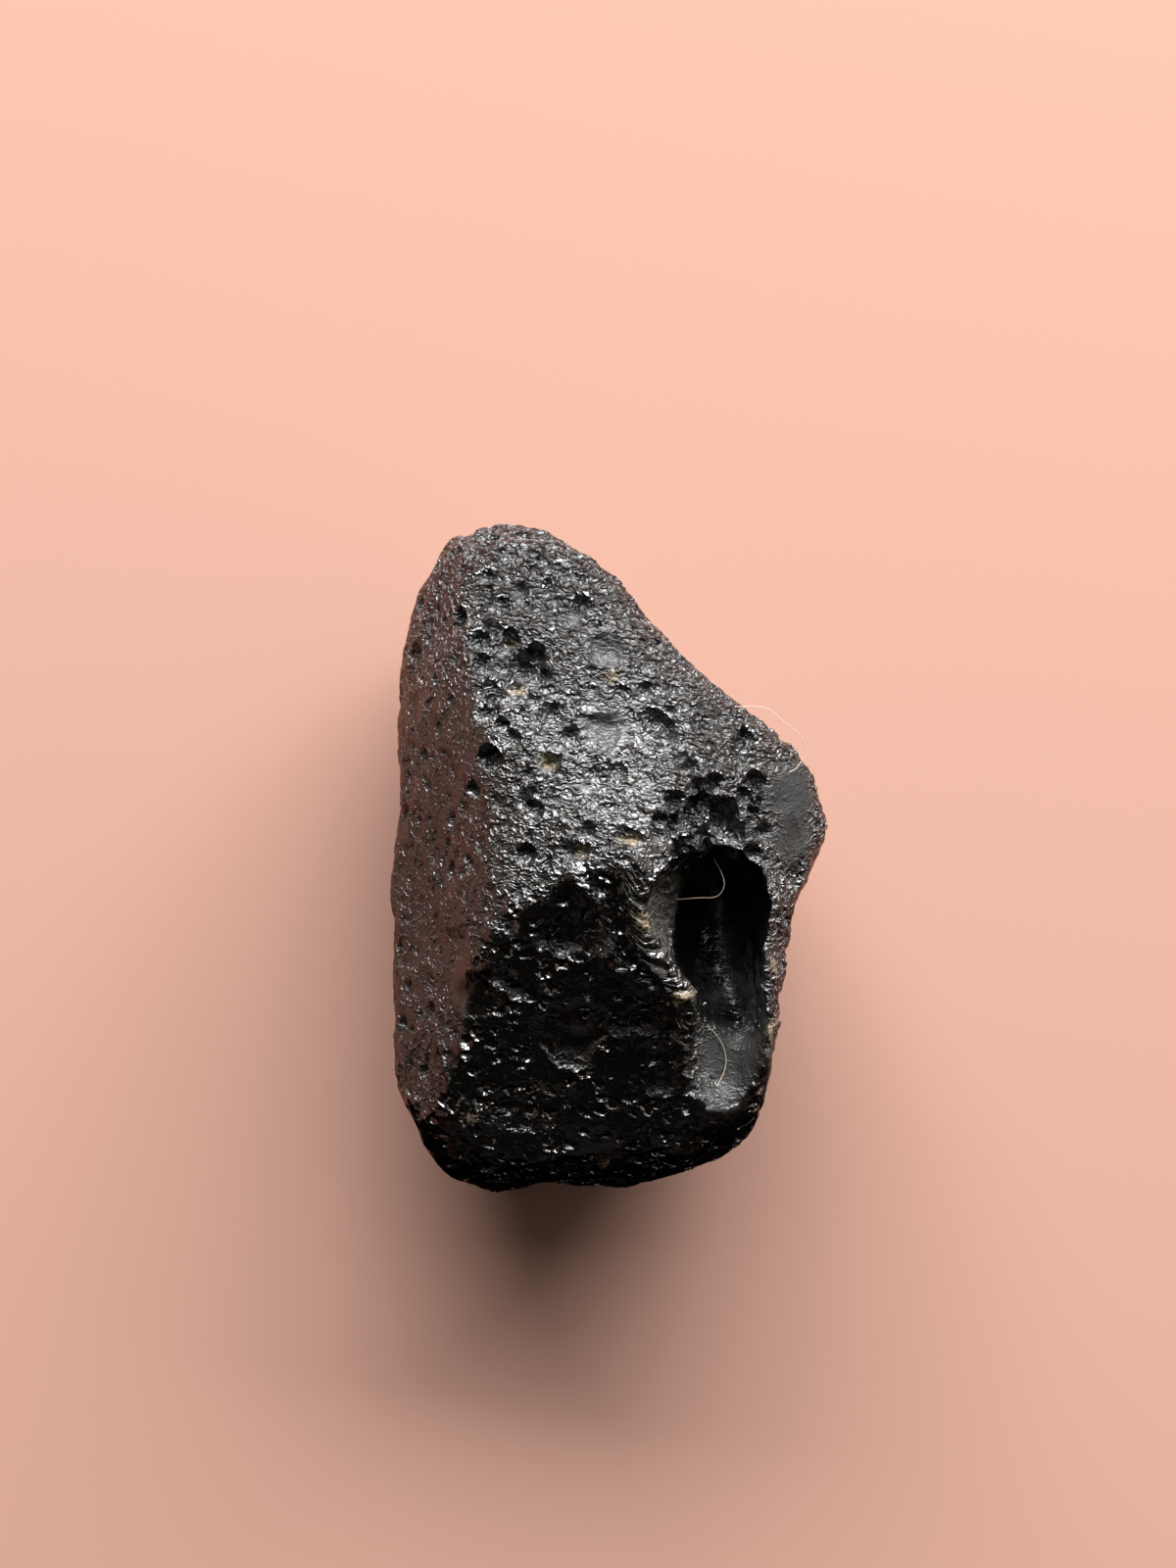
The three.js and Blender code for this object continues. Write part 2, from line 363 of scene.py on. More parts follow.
def etched_skin(put, place, given):
    """The height of the skin in mm, and how far each place is from the middle of its scallop."""
    swirl = put("ShaderNodeTexNoise", {"Vector": place, "Scale": SWIRL_SCALE, "Detail": 1.0}, out="Color")
    pull = put("ShaderNodeVectorMath", (swirl, (0.5, 0.5, 0.5)), operation="SUBTRACT")
    warped = put("ShaderNodeVectorMath", (pull, (WARP, WARP, WARP), place), operation="MULTIPLY_ADD")

    coarse, from_middle = scallops(put, warped, SCALLOP_HEIGHT, SCALLOP_DEPTH, SCALLOP_TILT)
    fine, _ = scallops(put, warped, SCALLOP_HEIGHT * FINE_SHARE, FINE_DEPTH, FINE_TILT)
    both = put("ShaderNodeMath", (coarse, fine), operation="ADD")
    skin = put("ShaderNodeMath", (both, given["relief"]), operation="MULTIPLY")

    pit = put("ShaderNodeTexVoronoi", {"Vector": warped, "Scale": 1 / PIT_SPACING}).node.outputs
    share = put("ShaderNodeMath", (pit["Distance"], PIT_SHARE), operation="DIVIDE")
    share = put("ShaderNodeMath", (share, 1.0), operation="MINIMUM")
    bowl = put("ShaderNodeMath", (share, PIT_PROFILE), operation="POWER")
    depth = put("ShaderNodeSeparateXYZ", (pit["Color"],), out="X")
    depth = put("ShaderNodeMath", (depth, PIT_DEPTH), operation="MULTIPLY")
    depth = put("ShaderNodeMath", (depth, given["shelter"]), operation="MULTIPLY")
    return put("ShaderNodeMath", (bowl, depth, skin), operation="MULTIPLY_ADD"), from_middle


# %% Grain and flow streaks
GRAIN_WIDTH = 0.06  # mm
GRAIN_HEIGHT = 0.005  # mm
MATT_GRAIN_HEIGHT = 0.014  # mm more where the glass is matt
STREAK_WIDTH = 0.18  # mm between the fine flow lines
STREAK_HEIGHT = 0.24  # mm


def grain_and_streaks(put, place, given):
    """The height in mm of the grain everywhere and of the streaks where the glass flowed."""
    grain = put("ShaderNodeTexNoise", {"Vector": place, "Scale": 1 / GRAIN_WIDTH, "Detail": 1.0})
    coarseness = (given["matt"], MATT_GRAIN_HEIGHT, GRAIN_HEIGHT)
    coarseness = put("ShaderNodeMath", coarseness, operation="MULTIPLY_ADD")
    grain = put("ShaderNodeMath", (grain, coarseness), operation="MULTIPLY")

    across = put("ShaderNodeAttribute", out="Vector", attribute_name="flow_grain")
    streak = put("ShaderNodeTexNoise", {"Vector": across, "Scale": 1 / STREAK_WIDTH, "Detail": 2.0})
    crease = put("ShaderNodeMath", (streak, 0.5), operation="SUBTRACT")
    crease = put("ShaderNodeMath", (crease,), operation="ABSOLUTE")
    crease = put("ShaderNodeMath", (crease, -STREAK_HEIGHT), operation="MULTIPLY")
    return put("ShaderNodeMath", (crease, given["flow"], grain), operation="MULTIPLY_ADD")


# %% Soil and dust
GLASS = "#060605"
SOIL = "#5E523D"
DUST = "#1C150D"
CRUMBS_PER_MM = 9.0
SOIL_CRUMBLE = 3.5  # how far the crumbs break up the edge of a soil spot
SOIL_BETWEEN = (0.6, 1.1)  # nearness to a spot's middle at which soil starts and is whole
DUST_BETWEEN = (0.2, 1.0)
DUST_DULLNESS = 0.65  # how far dust takes the gloss, where soil takes all of it


def soil_and_dust(put, place, given):
    """The colour of the glass with its soil and dust, and how dull they make it."""
    crumbs = put("ShaderNodeTexNoise", {"Vector": place, "Scale": CRUMBS_PER_MM, "Detail": 5.0})
    crumbs = put("ShaderNodeMath", (crumbs, 0.5), operation="SUBTRACT")
    soil = put("ShaderNodeMath", (crumbs, SOIL_CRUMBLE, given["soil"]), operation="MULTIPLY_ADD")
    dust = put("ShaderNodeMath", (crumbs, given["dust"]), operation="ADD")
    soil = put("ShaderNodeMapRange", (soil, *SOIL_BETWEEN))
    dust = put("ShaderNodeMapRange", (dust, *DUST_BETWEEN))
    dusty = put("ShaderNodeMix", {"Factor": dust, "A": linear(GLASS), "B": linear(DUST)}, data_type="RGBA")
    soiled = put("ShaderNodeMix", {"Factor": soil, "A": dusty, "B": linear(SOIL)}, data_type="RGBA")
    dust_dullness = put("ShaderNodeMath", (dust, DUST_DULLNESS), operation="MULTIPLY")
    return soiled, put("ShaderNodeMath", (soil, dust_dullness), operation="MAXIMUM")


# %% Etched black glass
GLASS_IOR = 1.5
COAT_ROUGHNESS = 0.1
COAT = 0.75  # share of the surface that still has its natural polish
BOWL_ROUGHNESS = 0.5
LIP_ROUGHNESS = 0.34
LIP_BETWEEN = (0.2, 0.7)  # distance from a scallop's middle at which its lip starts and is whole
POLISH = 0.22  # how much less rough the sheltered faces and the groove are
DULL_ROUGHNESS = 0.85
REGION_VALUES = ("relief", "shelter", "matt", "polish", "flow", "soil", "dust")


def glass_material():
    material = new_material("etched_black_tektite_glass")
    put = partial(add, material.node_tree)
    metres = put("ShaderNodeTexCoord", out="Object")
    place = put("ShaderNodeVectorMath", {"Vector": metres, "Scale": 1 / MM}, operation="SCALE")
    given = {name: put("ShaderNodeAttribute", out="Fac", attribute_name=name) for name in REGION_VALUES}

    skin, from_middle = etched_skin(put, place, given)
    height = put("ShaderNodeMath", (skin, grain_and_streaks(put, place, given)), operation="ADD")
    bump = put("ShaderNodeBump", {"Height": height, "Distance": MM, "Strength": 1.0})
    colour, dirt = soil_and_dust(put, place, given)

    gloss = put("ShaderNodeMapRange", (from_middle, *LIP_BETWEEN, BOWL_ROUGHNESS, LIP_ROUGHNESS))
    gloss = put("ShaderNodeMath", (given["polish"], -POLISH, gloss), operation="MULTIPLY_ADD")
    dull = put("ShaderNodeMath", (dirt, given["matt"]), operation="MAXIMUM")
    roughness = put("ShaderNodeMix", {"Factor": dull, "A": gloss, "B": DULL_ROUGHNESS}, data_type="FLOAT")
    coat = put("ShaderNodeMath", (dull, -COAT, COAT), operation="MULTIPLY_ADD")

    return surfaced(material, {
        "Base Color": colour, "IOR": GLASS_IOR, "Roughness": roughness, "Normal": bump,
        "Coat Weight": coat, "Coat Roughness": COAT_ROUGHNESS, "Coat Normal": bump,
    })


glass = glass_material()
print("nodes in the glass:", len(glass.node_tree.nodes))

# %% [markdown]
# ## Places on the stone
# The marks below were measured on the photograph in millimetres, across and along the picture at
# the level of the stone's outline. What is higher up looks a little further from the middle, so
# each mark goes where the camera's own line of sight meets the stone.

# %% Read and write a mesh, and find the stone under a place in the picture
def read_points(mesh):
    values = np.empty(len(mesh.vertices) * 3, np.float32)
    mesh.vertices.foreach_get("co", values)
    return values.reshape(-1, 3).astype(float)


def read_normals(mesh):
    values = np.empty(len(mesh.vertices) * 3, np.float32)
    mesh.vertex_normals.foreach_get("vector", values)
    return values.reshape(-1, 3).astype(float)


def write_points(mesh, places):
    mesh.vertices.foreach_set("co", places.astype(np.float32).ravel())
    mesh.update()


def surface_finder(mesh, to_mm=1.0):
    """Gives a function from a place in the picture to the point and normal of the stone seen there."""
    faces = [tuple(face.vertices) for face in mesh.polygons]
    tree = BVHTree.FromPolygons((read_points(mesh) * to_mm).tolist(), faces)
    eye = camera.location / MM

    def seen_at(x, y):
        sight = Vector((x, y, OUTLINE_LEVEL / MM)) - eye
        place, normal, _, _ = tree.ray_cast(eye, sight.normalized())
        return (np.array(place), np.array(normal)) if place else None

    return seen_at


print("top of the body in mm:", read_points(stone.data)[:, 2].max().round(2))

# %% Noise and ramps
SEED_SHIFT = 17.3  # in wavelengths, so that each seed reads another part of the noise


def noise_at(places, wavelength, seed):
    """Smooth noise from -1 to 1 at each point."""
    return np.array([noise(place) for place in (places / wavelength + seed * SEED_SHIFT).tolist()])


def ramp(values, start, end):
    """From 0 at the start to 1 at the end, in either direction, and level beyond both."""
    return np.clip((values - start) / (end - start), 0, 1)


print("halfway up a ramp:", ramp(1.5, 1, 2))

# %% [markdown]
# ## Wear, and hollows placed one by one
# No facet of a stone is flat, so broad noise wears the surface first. Then the large dimples and
# the pits that anyone would know this stone by are scooped out one by one. Each row is a place, a
# radius and a depth. The edge of each is made a little ragged with noise, so that none is a perfect
# circle.

# %% The hollows
HOLLOWS = [
    # x, y, radius and depth in mm, on the lower face
    (-0.95, -5.7, 0.85, 0.16), (-1.1, -6.3, 0.6, 0.1), (-4.5, -4.4, 0.9, 0.14), (1.8, -7.2, 0.6, 0.1),
    (-1.5, -2.5, 0.7, 0.25), (-3.4, -3.85, 0.42, 0.25), (-3.0, -4.25, 0.36, 0.25),
    (1.15, -5.35, 0.62, 0.3), (0.4, -5.45, 0.4, 0.25), (2.2, -5.55, 0.36, 0.25),
    # on the upper face
    (-2.65, 6.3, 0.62, 0.6), (-2.35, 6.75, 0.35, 0.35), (-2.2, 6.05, 0.35, 0.35),
    (-3.15, 7.05, 0.42, 0.4), (-3.7, 5.5, 0.45, 0.5), (-3.95, 4.9, 0.4, 0.4),
    (-2.85, 8.85, 0.3, 0.3), (-1.1, 7.95, 0.42, 0.2), (-0.9, 8.35, 0.42, 0.45), (-3.9, 9.3, 0.3, 0.25),
    (0.0, 6.85, 0.7, 0.3), (-0.1, 6.6, 0.18, 0.2), (-1.75, 4.8, 0.5, 0.35), (-0.13, 4.25, 0.74, 0.3),
    (-1.2, 4.15, 0.35, 0.35), (1.55, 4.5, 0.5, 0.4), (2.0, 4.35, 0.35, 0.3), (-1.9, 3.15, 0.38, 0.35),
    (0.5, 5.4, 0.33, 0.2), (1.3, 5.55, 0.3, 0.2), (2.1, 5.6, 0.3, 0.2), (-1.5, 9.6, 0.32, 0.2),
    (-0.85, 9.2, 0.25, 0.25), (2.0, 4.0, 0.4, 0.35), (2.6, 3.25, 0.4, 0.25), (4.6, 4.0, 0.38, 0.5),
    (0.82, 0.6, 0.46, 0.3), (-0.9, 0.25, 0.35, 0.25), (-2.7, 0.2, 0.35, 0.35),
    (-3.9, 3.3, 0.45, 0.4), (-4.4, 2.3, 0.3, 0.3),
    # the cluster above the groove
    (3.85, 1.4, 0.62, 0.9), (2.9, 1.5, 0.5, 0.5), (4.55, 2.2, 0.35, 0.4), (3.6, 2.5, 0.4, 0.4),
    (2.2, 1.9, 0.4, 0.35), (3.0, 2.4, 0.3, 0.3), (2.2, 1.2, 0.4, 0.4), (4.9, 1.3, 0.3, 0.3),
    (3.3, 0.7, 0.5, 0.5), (4.3, 0.8, 0.45, 0.5), (2.6, 0.3, 0.5, 0.5), (2.9, 3.1, 0.35, 0.35),
    (3.25, 0.3, 0.4, 0.4), (4.1, 0.2, 0.45, 0.4), (4.85, 0.2, 0.4, 0.35), (5.2, 0.9, 0.3, 0.25),
    (4.9, 2.6, 0.35, 0.35), (3.2, 1.9, 0.5, 0.5), (1.75, 1.3, 0.3, 0.3), (5.0, 1.9, 0.25, 0.25),
    # along the left edge of the upper face
    (-4.1, 6.4, 0.35, 0.35), (-3.5, 4.4, 0.3, 0.3), (-3.1, 4.0, 0.35, 0.3), (-4.2, 7.2, 0.4, 0.35),
    (-2.4, 1.6, 0.35, 0.3), (-4.9, 7.9, 0.35, 0.35), (-1.9, 9.0, 0.35, 0.3), (-3.4, 8.4, 0.3, 0.3),
]
print("hollows to scoop by hand:", len(HOLLOWS))

# %% Wear the facets and scoop the hollows
WEAR = [(2.4, 1, 0.10), (1.0, 2, 0.05)]  # wavelength in mm, seed, greatest depth in mm
RAGGED_WAVELENGTH = 0.5  # mm
RAGGED_SEED = 3
RAGGED = 0.3
LEAN = 0.8  # on a face towards the wide end, how much deeper a hollow is at its lower side
LEANING = (0, 0.25)  # part of a hollow's normal along -Y where it starts to lean and fully leans
SHALLOW = 0.4  # share of its radius; a hollow that is less deep and doesn't lean has a flat bottom
FLAT_BOTTOM = 4  # power of the distance from the middle, and so is the next
ROUND_BOTTOM = 2


def scoop(places, ragged, centre, normal, radius, depth):
    """Pushes in the points near a place on the surface, as a round hollow with a sharp edge."""
    away = places - centre
    height = away @ normal
    across = np.linalg.norm(away - np.outer(height, normal), axis=1) * (1 + RAGGED * ragged)
    near = (across < radius) & (np.abs(height) < radius)
    share = across[near] / radius
    leaning = ramp(-normal[1], *LEANING)
    lopsided = 1 - LEAN * leaning * away[near, 1] / radius
    bottom = FLAT_BOTTOM if depth < SHALLOW * radius and not leaning else ROUND_BOTTOM
    places[near] -= np.outer(depth * (1 - share**bottom) * lopsided, normal)


def scoop_all(piece, hollows):
    mesh = piece.data
    seen_at = surface_finder(mesh)
    found = [(seen_at(x, y), radius, depth) for x, y, radius, depth in hollows]
    places = read_points(mesh)
    ragged = noise_at(places, RAGGED_WAVELENGTH, RAGGED_SEED)
    for (centre, normal), radius, depth in found:
        scoop(places, ragged, centre, normal, radius, depth)
    write_points(mesh, places)


places = read_points(stone.data)
worn = np.abs(sum(noise_at(places, wavelength, seed) * depth for wavelength, seed, depth in WEAR))
write_points(stone.data, places - read_normals(stone.data) * worn[:, None])
scoop_all(stone, HOLLOWS)
print("deepest wear in mm:", worn.max().round(3))

# %% [markdown]
# ## Marks that the later steps read
# Attributes on the mesh carry what the eye knows about each region: how deep its skin is, how
# sheltered, matt or polished it is, whether the glass flowed there and which way, and how much soil
# or dust it holds. Beside the groove the flow stands proud of the glass as ridges, so these points
# are also raised.

# %% Regions, as places in the picture
MATT_SPOTS = [
    # x, y, radius in mm, and how matt
    (6.1, 2.1, 1.1, 0.95), (6.1, 0.7, 0.9, 0.75), (4.0, -6.5, 1.1, 0.8), (3.7, -7.7, 0.9, 0.55),
    (0.0, 6.85, 0.75, 0.75), (-0.13, 4.25, 0.78, 0.7), (-1.1, 7.95, 0.45, 0.7),
    (-2.85, 8.85, 0.33, 0.8), (-1.9, 3.15, 0.4, 0.6), (2.6, 3.25, 0.4, 0.6), (2.6, -4.0, 0.5, 0.3),
]
SMOOTH_SPOTS = [
    # x, y, radius in mm, and how much of the skin is gone, though the glass stays glossy
    (-0.95, -5.75, 0.95, 0.95), (-4.5, -4.35, 1.0, 0.95), (-0.95, -2.7, 0.8, 0.5),
    (1.8, -7.1, 0.5, 0.8), (3.7, 1.3, 0.8, 0.6),
]
SOIL_SPOTS = [
    # x, y, radius in mm, and how much soil
    (-1.9, 3.2, 0.33, 1), (0.82, 0.6, 0.33, 1), (-0.9, 0.25, 0.28, 1), (-2.95, 5.55, 0.35, 1),
    (-3.1, 6.95, 0.25, 1), (-7.2, -1.7, 0.3, 1), (1.2, -1.9, 0.3, 1), (2.3, -4.4, 0.3, 1),
    (1.35, -2.1, 0.25, 1), (5.4, -5.6, 0.5, 1), (5.6, -6.9, 0.5, 1), (5.5, -3.5, 0.35, 1),
    (-4.5, -8.5, 0.3, 1), (-2.1, -7.5, 0.25, 1), (-0.1, -10.0, 0.25, 1), (0.1, 6.0, 0.25, 1),
]
DUST_SPOTS = [(1.9, -1.4, 1.1, 1), (1.8, -2.6, 0.9, 1), (5.5, -6.2, 1.0, 1), (-7.1, -1.6, 0.7, 1)]
RIDGES = {
    # a line of places in the picture, its half-width and its height in mm, and how streaky it is
    "groove_edge": (
        [
            (0.7, 0.0), (0.75, -0.95), (0.85, -1.8), (1.15, -2.7),
            (1.7, -3.7), (2.4, -4.45), (2.5, -6.0), (2.65, -7.0),
        ],
        0.42, 0.38, 0.9,
    ),
    "twisted": (
        [(-1.1, -0.45), (-0.25, -1.25), (0.15, -2.6), (0.35, -3.5), (1.4, -4.05), (2.6, -4.45)],
        0.26, 0.36, 0.8,
    ),
    "right_rim": ([(6.1, 1.2), (5.75, -0.8), (5.45, -4.0), (5.1, -7.2)], 0.8, 0.0, 0.5),
}
print("spots:", len(MATT_SPOTS + SMOOTH_SPOTS + SOIL_SPOTS + DUST_SPOTS), "ridges:", len(RIDGES))

# %% Nearness to spots, ridges and the groove
SPOT_EDGE = 1.25  # where a spot ends, in its own radii; it is whole out to half of that
GROOVE_CENTRE = (3.7, -2.1)  # mm
GROOVE_REACH = (1.5, 3.3)  # mm to either side of its centre
GROOVE_DEPTHS = (9.3, 8.3)  # mm above the table where the groove's wall starts and is well inside
GROOVE_FLOOR = 4.5  # mm above the table, below which is the flank


def spots(places, seen_at, marks):
    """How near each point is to a mark: the mark's strength in its middle, and 0 beyond its edge."""
    nearness = np.zeros(len(places))
    for x, y, radius, strength in marks:
        seen = seen_at(x, y)
        if seen is None:
            continue
        distance = np.linalg.norm(places - seen[0], axis=1)
        edge = SPOT_EDGE * radius
        nearness = np.maximum(nearness, ramp(distance, edge, edge / 2) * strength)
    return nearness


def along_path(places, seen_at, path):
    """Distance across a path and along it, for each point, both in mm."""
    line = np.array([seen_at(x, y)[0] for x, y in path])
    best = np.full(len(places), np.inf)
    across = np.zeros(len(places))
    along = np.zeros(len(places))
    run = 0.0
    for a, b in zip(line[:-1], line[1:]):
        step = b - a
        length = np.linalg.norm(step)
        share = np.clip((places - a) @ step / length**2, 0, 1)
        away = places - a - np.outer(share, step)
        distance = np.linalg.norm(away, axis=1)
        side = np.sign(step[0] * away[:, 1] - step[1] * away[:, 0])
        closer = distance < best
        best = np.where(closer, distance, best)
        across = np.where(closer, distance * side, across)
        along = np.where(closer, run + share * length, along)
        run += length
    return across, along


def along_ridges(places, seen_at):
    """For each point: the distance across and along its ridge, how streaky it is, and its rise."""
    across, along, flow, raised = np.zeros((4, len(places)))
    for path, half_width, height, streaky in RIDGES.values():
        this_across, this_along = along_path(places, seen_at, path)
        nearness = np.exp(-((this_across / half_width) ** 2))
        stronger = nearness * streaky > flow
        across = np.where(stronger, this_across, across)
        along = np.where(stronger, this_along, along)
        flow = np.maximum(flow, nearness * streaky)
        raised = np.maximum(raised, nearness * height)
    return across, along, flow, raised


def in_groove(places):
    """From 0 at the groove's rim to 1 well inside it."""
    x, y, z = places.T
    from_centre = [(x - GROOVE_CENTRE[0]) / GROOVE_REACH[0], (y - GROOVE_CENTRE[1]) / GROOVE_REACH[1]]
    inside = from_centre[0] ** 2 + from_centre[1] ** 2 < 1
    return np.where(inside & (z > GROOVE_FLOOR), ramp(z, *GROOVE_DEPTHS), 0)


# %% Store the marks and raise the ridges
TWIST = -0.5  # how far a flow line moves across for each mm along
STREAK_STRETCH = 7  # how much longer a fine streak is than it is wide
FLOW_LINE_WIDTH = 0.2  # mm
FLOW_LINE_STRETCH = 6
FLOW_LINE_HEIGHT = 0.16  # mm
FLOW_LINE_SEED = 4
FACING_WIDE_END = (0.125, 0.375)  # part of the normal along -Y where shelter starts and is whole
FACING_LEFT = (0.3, 0.5)  # part of the normal along -X
STEEP = (0.6, 0.3)  # part of the normal along +Z
NARROW_END = (4.5, 7.5)  # mm along the stone
RIGHT_SIDE = (1.5, 3.0)  # mm across the stone, above the groove
ABOVE_GROOVE = (0.5, 1.5)  # mm along the stone
DEEPER_ETCHED = 1.2  # how much deeper the bump is towards the narrow end and the right
LEAST_SKIN = 0.08
FLOW_SMOOTHS = 0.35  # how much of the skin is gone where the glass flowed
LEFT_SMOOTHS = 0.5
STEEP_ROUGHENS = 0.9
SHELTER_IN_MESH, GROOVE_IN_MESH = 0.5, 0.4  # share of the mesh's bowls left there
SHELTER_IN_BUMP, GROOVE_IN_BUMP = 0.07, 0.2  # share of the bump left there


def faded(mask, left):
    """From 1 where a mask is 0 to what is left where it is 1."""
    return 1 - (1 - left) * mask


def store(mesh, name, values, kind="FLOAT"):
    attribute = mesh.attributes.new(name, kind, "POINT")
    field = "value" if kind == "FLOAT" else "vector"
    attribute.data.foreach_set(field, np.asarray(values, np.float32).ravel())


def mark_regions(mesh, seen_at, flow):
    places, facing = read_points(mesh), read_normals(mesh)
    matt = spots(places, seen_at, MATT_SPOTS)
    smooth = spots(places, seen_at, SMOOTH_SPOTS)
    shelter = ramp(-facing[:, 1], *FACING_WIDE_END)
    leftwards = ramp(-facing[:, 0], *FACING_LEFT)
    steep = ramp(facing[:, 2], *STEEP)
    groove = in_groove(places)
    to_narrow_end = ramp(places[:, 1], *NARROW_END)
    to_right = ramp(places[:, 0], *RIGHT_SIDE) * ramp(places[:, 1], *ABOVE_GROOVE)
    deeper = 1 + DEEPER_ETCHED * np.maximum(to_narrow_end, to_right)
    skin = np.clip(1 - matt - smooth - flow * FLOW_SMOOTHS, LEAST_SKIN, 1) * faded(leftwards, LEFT_SMOOTHS)
    in_mesh = faded(shelter, SHELTER_IN_MESH) * faded(groove, GROOVE_IN_MESH)
    in_bump = faded(shelter, SHELTER_IN_BUMP) * faded(groove, GROOVE_IN_BUMP)
    store(mesh, "rough", skin * (1 + STEEP_ROUGHENS * steep) * in_mesh)
    store(mesh, "relief", skin * deeper * in_bump)
    store(mesh, "shelter", np.clip(1 - matt - smooth - flow - groove, 0, 1) * shelter)
    store(mesh, "matt", matt)
    store(mesh, "polish", np.maximum(shelter, groove) * (1 - matt))
    store(mesh, "flow", flow)
    store(mesh, "soil", spots(places, seen_at, SOIL_SPOTS))
    store(mesh, "dust", spots(places, seen_at, DUST_SPOTS))


def flow_coordinates(across, along, width, stretch):
    """Where a point lies in a pattern of lines of a width, which run along a ridge and twist round it."""
    return np.stack([(across + TWIST * along) / width, along / (stretch * width), across * 0], axis=1)


def raise_ridges(mesh, across, along, flow, raised):
    lines = flow_coordinates(across, along, FLOW_LINE_WIDTH, FLOW_LINE_STRETCH)
    raised = raised + flow * noise_at(lines, 1.0, FLOW_LINE_SEED) * FLOW_LINE_HEIGHT
    write_points(mesh, read_points(mesh) + read_normals(mesh) * raised[:, None])


seen_at = surface_finder(stone.data)
across, along, flow, raised = along_ridges(read_points(stone.data), seen_at)
mark_regions(stone.data, seen_at, flow)
store(stone.data, "flow_grain", flow_coordinates(across, along, 1.0, STREAK_STRETCH), "FLOAT_VECTOR")
raise_ridges(stone.data, across, along, flow, raised)
print("flow lines reach over", round(float((flow > 0.3).mean()) * 100), "percent of the points")

# %% [markdown]
# ## Pits and scallops by the thousand
# Bubbles and acid leave pits of every size. Geometry Nodes scatters centres over the stone, finds the
# nearest centre for each point, and lowers the point into a bowl round it. Where bowls overlap
# the nearest one wins, which leaves the sharp edges between them that catch the light. The same
# tree runs once for each size of pit.

# %% The tree that sinks pits
PIT_INPUTS = (
    "Spacing", "Pits per square mm", "Smallest radius", "Largest radius", "Depth share", "Raggedness",
)
RAGS_PER_MM = 1.8


def pit_tree():
    tree = bpy.data.node_groups.new("pits", "GeometryNodeTree")
    tree.is_modifier = True
    floats = [(label, "Float") for label in PIT_INPUTS]
    for label, kind in [("Stone", "Geometry"), *floats, ("Seed", "Int"), ("Glass", "Material")]:
        tree.interface.new_socket(label, in_out="INPUT", socket_type="NodeSocket" + kind)
    tree.interface.new_socket("Pitted stone", in_out="OUTPUT", socket_type="NodeSocketGeometry")
    put = partial(add, tree)
    given = put("NodeGroupInput").node.outputs

    scattering = {
        "Mesh": given["Stone"], "Distance Min": given["Spacing"],
        "Density Max": given["Pits per square mm"], "Seed": given["Seed"],
    }
    centres = put("GeometryNodeDistributePointsOnFaces", scattering, distribute_method="POISSON")
    sizes = {"Min": given["Smallest radius"], "Max": given["Largest radius"], "Seed": given["Seed"]}
    radii = put("FunctionNodeRandomValue", sizes, data_type="FLOAT")
    place = put("GeometryNodeInputPosition")
    nearest = put("GeometryNodeSampleNearest", {"Geometry": centres}, domain="POINT")

    def at_nearest(value, kind):
        sample = {"Geometry": centres, "Value": value, "Index": nearest}
        return put("GeometryNodeSampleIndex", sample, data_type=kind, domain="POINT")

    centre = at_nearest(place, "FLOAT_VECTOR")
    normal = at_nearest(centres.node.outputs["Normal"], "FLOAT_VECTOR")
    radius = at_nearest(radii, "FLOAT")

    distance = put("ShaderNodeVectorMath", (place, centre), operation="DISTANCE")
    rags = put("ShaderNodeTexNoise", {"Vector": place, "Scale": RAGS_PER_MM, "Detail": 2.0})
    rags = put("ShaderNodeMath", (rags, 0.5), operation="SUBTRACT")
    ragged = put("ShaderNodeMath", (rags, given["Raggedness"], 1.0), operation="MULTIPLY_ADD")
    share = put("ShaderNodeMath", (distance, radius), operation="DIVIDE")
    share = put("ShaderNodeMath", (share, ragged), operation="MULTIPLY")
    share = put("ShaderNodeMath", (share, 1.0), operation="MINIMUM")
    square = put("ShaderNodeMath", (share, share), operation="MULTIPLY")
    bowl = put("ShaderNodeMath", (1.0, square), operation="SUBTRACT")

    rough = put("GeometryNodeInputNamedAttribute", {"Name": "rough"}, data_type="FLOAT")
    deepest = put("ShaderNodeMath", (given["Depth share"], rough), operation="MULTIPLY")
    depth = put("ShaderNodeMath", (bowl, radius), operation="MULTIPLY")
    depth = put("ShaderNodeMath", (depth, deepest), operation="MULTIPLY")
    inwards = put("ShaderNodeMath", (depth, -1.0), operation="MULTIPLY")
    offset = put("ShaderNodeVectorMath", {"Vector": normal, "Scale": inwards}, operation="SCALE")
    sunk = put("GeometryNodeSetPosition", {"Geometry": given["Stone"], "Offset": offset})
    whole = put("GeometryNodeRealizeInstances", {"Geometry": sunk})
    finished = put("GeometryNodeSetMaterial", {"Geometry": whole, "Material": given["Glass"]})
    put("NodeGroupOutput", (finished,))
    return tree


pits = pit_tree()
print("nodes in the pit tree:", len(pits.nodes))

# %% Sink the pits
PIT_SIZES = {
    # spacing in mm, pits per square mm, smallest and largest radius in mm, depth share, raggedness
    "thumbprints": (1.1, 2.0, 0.6, 1.1, 0.12, 0.9),
    "open_bubbles": (0.8, 1.0, 0.12, 0.36, 0.8, 0.9),
    "small_bubbles": (0.3, 2.5, 0.08, 0.2, 0.7, 0.9),
    "scallops": (0.05, 9.0, 0.20, 0.30, 0.13, 0.5),
}
FIRST_SEED = 5


def sink_pits(piece, name, sizes, seed):
    modifier = piece.modifiers.new(name, "NODES")
    modifier.node_group = pits
    values = {**dict(zip(PIT_INPUTS, sizes)), "Seed": seed, "Glass": glass}
    for item in pits.interface.items_tree:
        if item.name in values:
            modifier[item.identifier] = values[item.name]


